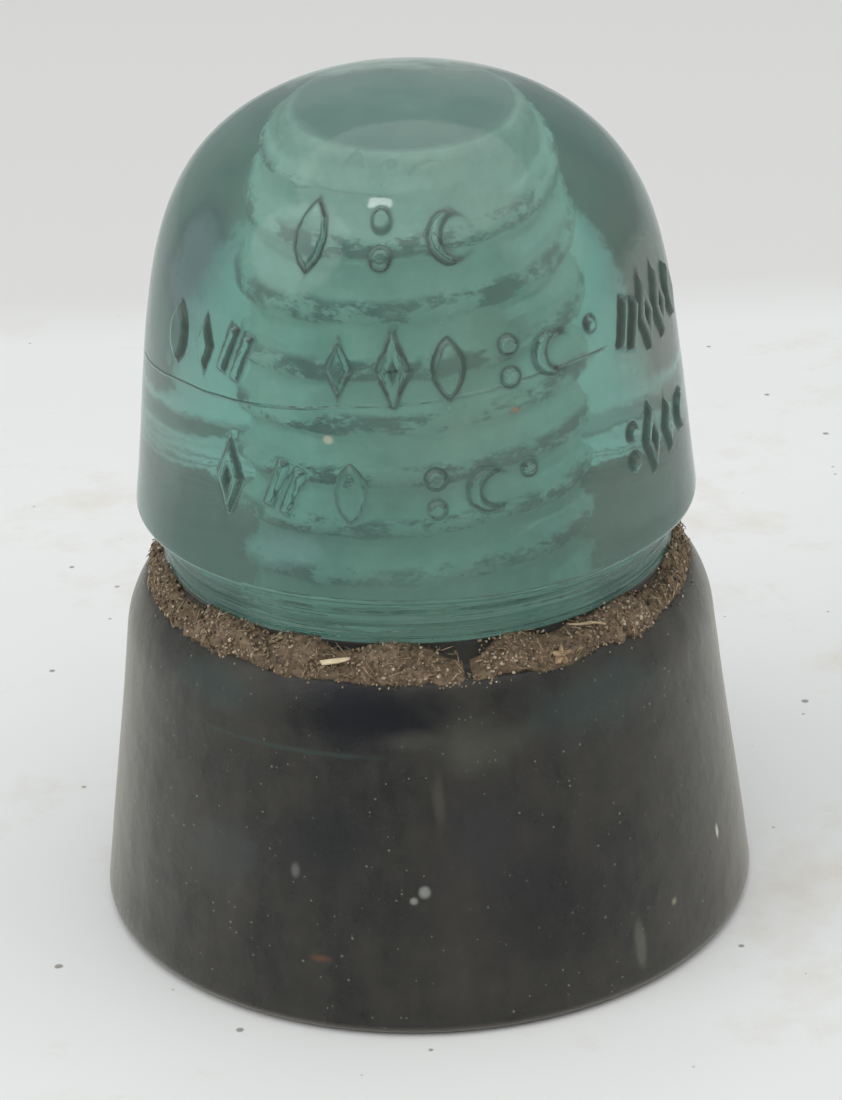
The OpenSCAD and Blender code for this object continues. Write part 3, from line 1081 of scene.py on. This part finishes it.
def addStainsAndPaintedLight(tree, spot, colour, look):    # a look's surface gives the radius at a height
    cover = 0.0
    for angle, z, across, up, patchColour, strength in look["stainsAndPaintedLight"]:
        centre = aroundAxis(angle, look["surface"](z) * mm, z * mm)
        reach = (across * mm, across * mm, up * mm)
        mask = placeGroup(tree, "raggedPatch", Spot=spot, Centre=tuple(centre), Reach=reach,
            Ragged=look["ragged"], Strength=strength)["Mask"]
        colour = mixColour(tree, mask, colour, patchColour)
        cover = mathNode(tree, "MAXIMUM", cover, mask)
    return colour, cover


def skirtRadiusAt(z):
    base, shoulder = glass["baseRadius"], glass["shoulderRadius"]
    return base + (shoulder - base) * min(1, z / glass["shoulderHeight"])


glassCoats = {
    "crown": {
        "film": (0.2, 0.44), "size": 42.0, "runs": 0.45, "specks": 0.12, "bumps": 0.1,
        "colours": ((0.16, 0.44, 0.36), (0.25, 0.4, 0.32)), "speckColour": (0.4, 0.5, 0.44),
        "mottle": 0.3, "mottleColour": (0.2, 0.34, 0.28), "edgeGrimeAndShade": (0.05, 0.08, 0.065),
        "foot": (30, 72),     # mm, below this and up to this the foot's colour shows
        "footColour": (0.1, 0.36, 0.27),
        "clearRoughness": (0.03, 0.12), "filmRoughness": 0.5, "gloss": 0.5,
        "sheen": 0.35, "sheenTint": (0.72, 0.64, 0.72),
        "stainsAndPaintedLight": crownStainsAndPaintedLight, "ragged": 0.25, "surface": crownRadiusAt,
    },
    "skirt": {
        "film": (0.84, 1.0), "size": 75.0, "runs": 0.4, "specks": 0.55, "bumps": 0.25,
        "colours": ((0.003, 0.004, 0.006), (0.04, 0.038, 0.031)), "speckColour": (0.26, 0.25, 0.2),
        "mottle": 0.5, "mottleColour": (0.045, 0.042, 0.036), "edgeGrimeAndShade": (0.02, 0.02, 0.02),
        "foot": (0.5, 1.4),
        "footColour": (0.13, 0.1, 0.075),
        "clearRoughness": (0.2, 0.4), "filmRoughness": 0.4, "gloss": 0.22,
        "sheen": 0.5, "sheenTint": (0.95, 0.92, 0.83),
        "stainsAndPaintedLight": skirtStainsAndPaintedLight, "ragged": 0.55, "surface": skirtRadiusAt,
    },
}


crease = {
    "height": 77.1,         # mm, at the front
    "climb": 0.045,         # mm a degree, towards the right
    "width": 0.22,
    "ends": (-84, 46),      # degrees from the front
    "fade": 4,
    "wave": 2.0,            # mm, how far it strays up and down
    "depth": 0.00025,       # metres, as a Bump node takes it
}


def addCrease(tree, spot, normal):    # a cold fold in the glass, part way round the crown
    parts = addNode(tree, "SeparateXYZ", Vector=spot).outputs
    turn = mathNode(tree, "ARCTAN2", parts["X"], mathNode(tree, "MULTIPLY", parts["Y"], -1.0))
    turn = mathNode(tree, "MULTIPLY", turn, math.degrees(1))
    wave = mathNode(tree, "MULTIPLY", noiseNode(tree, spot, 50.0, detail=2.0), crease["wave"])
    line = mathNode(tree, "ADD", mathNode(tree, "MULTIPLY", turn, crease["climb"]), wave)
    away = mathNode(tree, "SUBTRACT", mathNode(tree, "DIVIDE", parts["Z"], mm), line)
    level = crease["height"] - crease["wave"] / 2
    away = mathNode(tree, "ABSOLUTE", mathNode(tree, "SUBTRACT", away, level))
    fold = rangeNode(tree, away, 0.0, crease["width"], 1.0, 0.0)
    start, end = crease["ends"]
    fold = mathNode(tree, "MULTIPLY", fold, rangeNode(tree, turn, start, start + crease["fade"]))
    fold = mathNode(tree, "MULTIPLY", fold, rangeNode(tree, turn, end - crease["fade"], end, 1.0, 0.0))
    return addNode(tree, "Bump", Height=fold, Strength=1.0, Distance=crease["depth"],
        Normal=normal).outputs[0]


def glassFinish(name, look):    # clear glass under an uneven film of grime, with painted shade and painted light in the film's colour
    material, tree, spot = newMaterial(name)
    film = placeGroup(tree, "weathering", Spot=spot, Size=look["size"], Runs=look["runs"],
        Low=look["film"][0], High=look["film"][1], Specks=look["specks"], Bumps=look["bumps"])
    colour = mixColour(tree, film["Cloud"], *look["colours"])
    mottle = placeGroup(tree, "grain", Spot=spot, Size=420.0, Stretch=(1, 1, 0.6), Depth=0.2)["Tone"]
    mottle = mathNode(tree, "MULTIPLY", mottle, look["mottle"])
    colour = mixColour(tree, mottle, colour, look["mottleColour"])
    colour = mixColour(tree, film["Speck"], colour, look["speckColour"])
    colour, stainOrPaintedLight = addStainsAndPaintedLight(tree, spot, colour, look)
    # dark edges round the raised marks: grime, and painted shade along them
    edge = addNode(tree, "Attribute", {"attribute_name": "markEdge"}).outputs["Fac"]
    edged = mathNode(tree, "MULTIPLY", edge, rangeNode(tree, film["Cloud"], 0.0, 0.6, 0.5, 1.0))
    colour = mixColour(tree, mathNode(tree, "MULTIPLY", edged, 1.5, True), colour, look["edgeGrimeAndShade"])
    height = addNode(tree, "SeparateXYZ", Vector=spot).outputs["Z"]
    foot = rangeNode(tree, height, look["foot"][1] * mm, look["foot"][0] * mm, 0.0, 0.6)
    colour = mixColour(tree, foot, colour, look["footColour"])
    normal = addCrease(tree, spot, film["Normal"])
    clear = addNode(tree, "BsdfPrincipled", Base_Color=glassTint["surface"],
        Roughness=rangeNode(tree, film["Cloud"], 0.0, 1.0, *look["clearRoughness"]),
        IOR=glassTint["bend"], Normal=normal, Transmission_Weight=1.0)
    grimeAndPaintedLight = addNode(tree, "BsdfPrincipled", Base_Color=colour, Roughness=look["filmRoughness"],
        Normal=normal, Specular_IOR_Level=look["gloss"],
        Sheen_Weight=look["sheen"], Sheen_Roughness=0.45, Sheen_Tint=look["sheenTint"])
    covered = mathNode(tree, "MAXIMUM", film["Film"], stainOrPaintedLight)
    coverGlass(tree, mathNode(tree, "MAXIMUM", covered, edged), clear, grimeAndPaintedLight)
    return material


holeCoat = {
    "dust": (0.6, 0.95),
    "dustColours": ((0.52, 0.66, 0.57), (0.85, 0.92, 0.82)),
    "endColour": (0.05, 0.075, 0.09),
    "grooveGrimeAndShade": (0.006, 0.022, 0.022),
    "grooveFrom": 13.1,     # mm from the axis, where the grime and painted shade begin and where they are full
    "grooveFull": 13.65,
    "endFrom": 0.5,         # mm below the closed end, where its colour begins and where it is full
    "endFull": 0.15,
}


def holeFinish():    # pale dust on the wall of the pin hole, dark grime and painted shade in the thread
    material, tree, spot = newMaterial("holeGlass")
    radius = vectorNode(tree, "LENGTH", vectorNode(tree, "MULTIPLY", spot, (1, 1, 0)), (0, 0, 0))
    height = addNode(tree, "SeparateXYZ", Vector=spot).outputs["Z"]
    film = placeGroup(tree, "weathering", Spot=spot, Size=85.0, Runs=0.2, Low=holeCoat["dust"][0],
        High=holeCoat["dust"][1], Specks=0.0, Bumps=0.3)
    deep = rangeNode(tree, radius, holeCoat["grooveFrom"] * mm, holeCoat["grooveFull"] * mm)
    broken = rangeNode(tree, noiseNode(tree, spot, 150.0, 6.0, 0.75, (1, 1, 2.2)), 0.46, 0.53)
    # dark in the thread's grooves: grime, and painted shade in the recess
    grimeAndShadeInGroove = mathNode(tree, "MULTIPLY", deep, broken, True)
    colour = mixColour(tree, film["Cloud"], *holeCoat["dustColours"])
    colour = mixColour(tree, grimeAndShadeInGroove, colour, holeCoat["grooveGrimeAndShade"])
    endFrom, endFull = [(glass["holeTop"] - holeCoat[key]) * mm for key in ("endFrom", "endFull")]
    ended = rangeNode(tree, height, endFrom, endFull, 0.0, 0.85)
    colour = mixColour(tree, ended, colour, holeCoat["endColour"])
    clear = addNode(tree, "BsdfPrincipled", Base_Color=glassTint["surface"], Roughness=0.08,
        IOR=glassTint["bend"], Normal=film["Normal"], Transmission_Weight=1.0)
    dusty = addNode(tree, "BsdfPrincipled", Base_Color=colour, Roughness=0.8,
        Normal=film["Normal"])
    covered = mathNode(tree, "MAXIMUM", film["Film"], mathNode(tree, "MAXIMUM", grimeAndShadeInGroove, ended))
    coverGlass(tree, covered, clear, dusty)
    return material


def sootFinish(name, dark, pale):
    material, tree, spot = newMaterial(name)
    film = placeGroup(tree, "weathering", Spot=spot, Size=70.0, Runs=0.3, Specks=0.5)
    grain = placeGroup(tree, "grain", Spot=spot, Size=900.0, Depth=0.4)
    shader = addNode(tree, "BsdfPrincipled", Base_Color=mixColour(tree, film["Film"], dark, pale),
        Roughness=rangeNode(tree, grain["Tone"], 0.0, 1.0, 0.7, 0.95), Normal=grain["Normal"])
    giveOutput(tree, shader)
    return material


def earthFinish(name, dark, pale):
    material, tree, spot = newMaterial(name)
    cells = addNode(tree, "TexVoronoi", Vector=spot, Scale=2600.0)
    shade = addNode(tree, "SeparateColor", Color=cells.outputs["Color"]).outputs[0]
    cloud = placeGroup(tree, "weathering", Spot=spot, Size=230.0, Runs=0.0, Specks=0.0)["Film"]
    grain = placeGroup(tree, "grain", Spot=spot, Size=1500.0, Depth=0.8)
    shade = mathNode(tree, "MULTIPLY", shade, 0.6)
    mixed = mathNode(tree, "ADD", shade, mathNode(tree, "MULTIPLY", cloud, 0.4))
    shader = addNode(tree, "BsdfPrincipled", Base_Color=mixColour(tree, mixed, dark, pale),
        Roughness=0.95, Normal=grain["Normal"])
    giveOutput(tree, shader)
    return material


def toneFinish(name, dark, middle, pale, roughness):    # each copy takes its own tone
    material, tree, spot = newMaterial(name)
    tone = addNode(tree, "Attribute", {"attribute_name": "tone"}).outputs["Fac"]
    low = mixColour(tree, rangeNode(tree, tone, 0.0, 0.6), dark, middle)
    grain = placeGroup(tree, "grain", Spot=spot, Size=6000.0, Depth=0.3)
    shader = addNode(tree, "BsdfPrincipled", Roughness=roughness, Normal=grain["Normal"],
        Base_Color=mixColour(tree, rangeNode(tree, tone, 0.75, 1.0), low, pale))
    giveOutput(tree, shader)
    return material


def dryFinish(name, dark, pale, size):    # dry plant matter with fine lines along it
    material, tree, spot = newMaterial(name)
    grain = placeGroup(tree, "grain", Spot=spot, Size=size, Stretch=(0.25, 1, 1), Depth=0.5)
    tone = mixColour(tree, grain["Tone"], dark, pale)
    shader = addNode(tree, "BsdfPrincipled", Base_Color=tone, Roughness=0.7,
        Normal=grain["Normal"])
    giveOutput(tree, shader)
    return material


addCamera()
addFloor()
addLights()
sayStage("camera, floor and lights")
makeWeathering()
makeRaggedPatch()
makeGrain()
addGlass({
    "crown": glassFinish("crownGlass", glassCoats["crown"]),
    "skirt": glassFinish("skirtGlass", glassCoats["skirt"]),
    "hole": holeFinish(),
    "hollow": sootFinish("sootBehindGlass", (0.012, 0.014, 0.015), (0.03, 0.036, 0.035)),
})
addSoot(sootFinish("sootCrust", (0.02, 0.02, 0.02), (0.085, 0.08, 0.072)))
packedDirt = earthFinish("packedDirt", (0.06, 0.042, 0.028), (0.28, 0.2, 0.13))
for bank in banks:
    addBank(*bank, packedDirt)
sayStage("dirt banks")
addLoose({
    "grit": toneFinish("gritTones", (0.06, 0.045, 0.03), (0.34, 0.25, 0.165), (0.62, 0.54, 0.4), 0.9),
    "fibre": toneFinish("fibreTones", (0.12, 0.085, 0.05), (0.33, 0.24, 0.14), (0.56, 0.46, 0.3), 0.75),
})
addStraw(dryFinish("strawDry", (0.5, 0.38, 0.21), (0.78, 0.67, 0.46), 1600.0))
addTwig(dryFinish("twigBark", (0.28, 0.19, 0.11), (0.55, 0.43, 0.28), 1300.0))
addHusk(dryFinish("huskDry", (0.27, 0.18, 0.1), (0.55, 0.4, 0.24), 900.0))
sayStage("straw, twig and husk")
